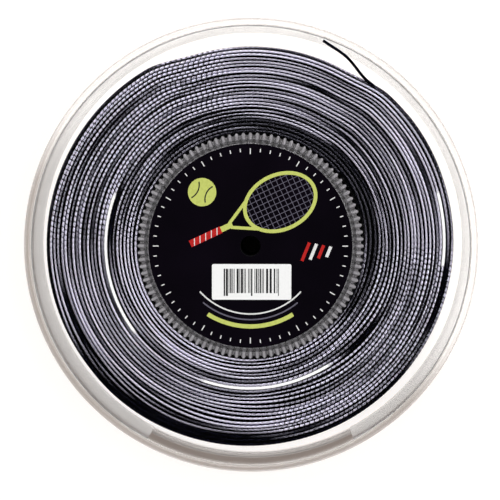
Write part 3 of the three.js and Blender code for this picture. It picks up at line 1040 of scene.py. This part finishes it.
for name, bands, colour, layer in (
    ("label_racket_strings", bed, grey_ink, 1),
    ("label_racket_frame", hoop, lime_ink, 2),
    ("label_racket_grip", [grip], red_ink, 2),
    ("label_racket_tape", tape, white_ink, 3),
    ("label_ball", [disc(-17, 19, 5, 5)], lime_ink, 1),
    ("label_ball_seams", seams, black_ink, 2),
    ("label_arcs_white", [bow(0, 0, 24, 24, 0.5, 222, 318)], white_ink, 1),
    ("label_arcs_grey", [bow(0, 0, 26, 26, 0.5, 230, 310)], grey_ink, 1),
    ("label_arc_lime", [bow(0, 0, 28.4, 28.4, 1.5, 238, 302)], lime_ink, 1),
    ("label_flashes_red", flashes[::2], red_ink, 1),
    ("label_flashes_white", flashes[1::2], white_ink, 1),
):
    printed(name, bands, label_face, 1, colour, layer)

# ---- Sticker ----
# A small white paper sticker, stuck on the front label below the hole. Its bars are drawn by chance and
# code nothing.

sticker_face = 34.75 * mm
code_left, code_right = -9.4, 10.3  # millimetres, as all of the print
code_bottom, code_top = -16.6, -8.0
guard_drop = 1.0  # how much lower the bars at the code's ends and middle go
code_widths = 0.26, 0.26, 0.5, 0.74  # of its bars and of the gaps between them

sticker_paper, tree = new_material("sticker_paper")
fibre = object_noise(tree, 1500.0, 4.0)
coat(tree, fibre.blended((0.88, 0.88, 0.87, 1), (0.95, 0.95, 0.94, 1)),
     fibre.between(0.45, 0.6), fibre.bump(0.01 * mm))
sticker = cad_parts["bar_code_sticker"]
sticker.data.materials.clear()
sticker.data.materials.append(sticker_paper)

draw = random.Random(7)
bars = []
x = code_left
while x < code_right:
    width = draw.choice(code_widths)
    middle = abs(x - (code_left + code_right) / 2) < 0.5
    guard = x < code_left + 0.8 or x > code_right - 1.0 or middle
    bottom = code_bottom - (guard_drop if guard else 0)
    bars.append(bar(x + width / 2, (code_top + bottom) / 2, code_top - bottom, width, 90))
    x += width + draw.choice(code_widths)
printed("sticker_bars", bars, sticker_face, 1, black_ink)

# ---- Keeper strip ----
# A springy strip of clear film, curled inside the two rims. It keeps the winding from springing off,
# and the string is drawn out between its two ends.

strip_inside, strip_outside = 77.725 * mm, 78.225 * mm
strip_bottom, strip_top = 3.1 * mm, 32.5 * mm
strip_start, strip_turn = math.radians(298), math.radians(304)
strip_plastic = clear_plastic(
    "clear_strip", (0.99, 0.985, 0.975, 1), (0.97, 0.96, 0.95, 1), 0.1, 0.25 * mm, 35.0,
    0.05, (0.95, 0.92, 0.9, 1))
strip_outline = wall_section(strip_inside, strip_outside, strip_bottom, strip_top, 0.12 * mm, 3)
strip = lathe("keeper_strip_film", strip_outline, strip_plastic, 244, strip_turn, strip_start)
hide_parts("keeper_strip")
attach(strip, "strip")

# ---- Floor and light ----
# A plain white table in a light tent with soft boxes, and an opening straight above for the camera,
# which keeps the clear flange free of glare. Where it shows through the clear rim, the table has painted
# light and shade.

floor_size = 3.0
sky_side = 0.5, 0.866, 0  # the way that the brighter side of the studio lies
floor_pale, tree = new_material("floor_pale")
by_eye, by_mirror, through_clear = (
    add_node(tree, "ShaderNodeLightPath", output=f"Is {kind} Ray")
    for kind in ("Camera", "Glossy", "Transmission"))
place = own_place(tree)
radius = place.length()
uphill = vectors(tree, "DOT_PRODUCT", place, sky_side, output="Value")

# The table is white to the eye. Seen through the clear rim it has painted light above and right of the
# winding, painted shade in darker beige elsewhere, and a painted light line close round the winding.
seen = by_eye.math("MAXIMUM", by_mirror - through_clear) * radius.eased(60 * mm, 82 * mm, 0.0, 0.7)
painted_light_side = uphill.eased(-30 * mm, 15 * mm)
line = radius.eased(72 * mm, 74 * mm, 0.0, 0.95) - radius.eased(77.5 * mm, 81 * mm, 0.0, 0.9)
through = (painted_light_side * radius.eased(66 * mm, 74 * mm)).math("MAXIMUM", line)
table_and_painted_shade = (through_clear * (1.0 - painted_light_side)).blended((0.47, 0.42, 0.385, 1), (0.33, 0.27, 0.235, 1))
matt = add_node(tree, "ShaderNodeBsdfDiffuse", inputs={"Color": table_and_painted_shade})
glow_and_painted_light = add_node(tree, "ShaderNodeEmission", inputs={"Strength": through_clear * through + seen})
surface(tree, add_node(tree, "ShaderNodeAddShader", inputs={0: matt, 1: glow_and_painted_light}))
half = floor_size / 2
corners = [(-half, -half, 0), (half, -half, 0), (half, half, 0), (-half, half, 0)]
floor = mesh_piece("floor", corners, [(0, 1, 2, 3)], floor_pale)

tent_edge = 0.3, 0.6  # how far up the tent grows from dim to bright, 0 level and 1 straight above
opening_edge = 0.91, 0.965  # how far up its opening starts
world = bpy.data.worlds.new("studio")
world.use_nodes = True
tree = world.node_tree
tree.nodes.clear()
direction = add_node(tree, "ShaderNodeTexCoord", output="Generated")
upward = direction.axes()[2]
tent = upward.eased(*tent_edge, 0.25, 1.0)
studio = upward.eased(*opening_edge, tent, 0.01)
towards = vectors(tree, "DOT_PRODUCT", direction, (0.5, 0.85, 0), output="Value")
studio = studio * (towards * 0.35 + 1.0)
by_eye = add_node(tree, "ShaderNodeLightPath", output="Is Camera Ray")
sky = add_node(tree, "ShaderNodeBackground", inputs={
    "Color": (1, 1, 1, 1), "Strength": by_eye.between(studio, 1.0)})
add_node(tree, "ShaderNodeOutputWorld", inputs={"Surface": sky})
bpy.context.scene.world = world

box_distance, box_length, box_width = 1.0, 1.0, 0.2
box_tilt = math.radians(33)  # off straight up


def soft_box(name, around, watts):
    """A long soft box that faces the reel, at an angle in degrees round from +X."""
    lamp = bpy.data.lights.new(name, "AREA")
    lamp.shape = "RECTANGLE"
    lamp.size = box_length
    lamp.size_y = box_width
    lamp.energy = watts
    holder = link(bpy.data.objects.new(name, lamp))
    around = math.radians(around)
    out, aside = turned(1, 0, around), turned(0, 1, around).to_3d()
    place = Vector((*(out * math.sin(box_tilt)), math.cos(box_tilt)))
    holder.location = place * box_distance
    holder.rotation_euler = Matrix((aside, place.cross(aside), place)).transposed().to_euler()


for name, around, watts in (("above", 90, 1.5), ("right", 0, 1.2), ("left", 180, 0.6), ("below", 270, 0.5)):
    soft_box("box_" + name, around, watts)
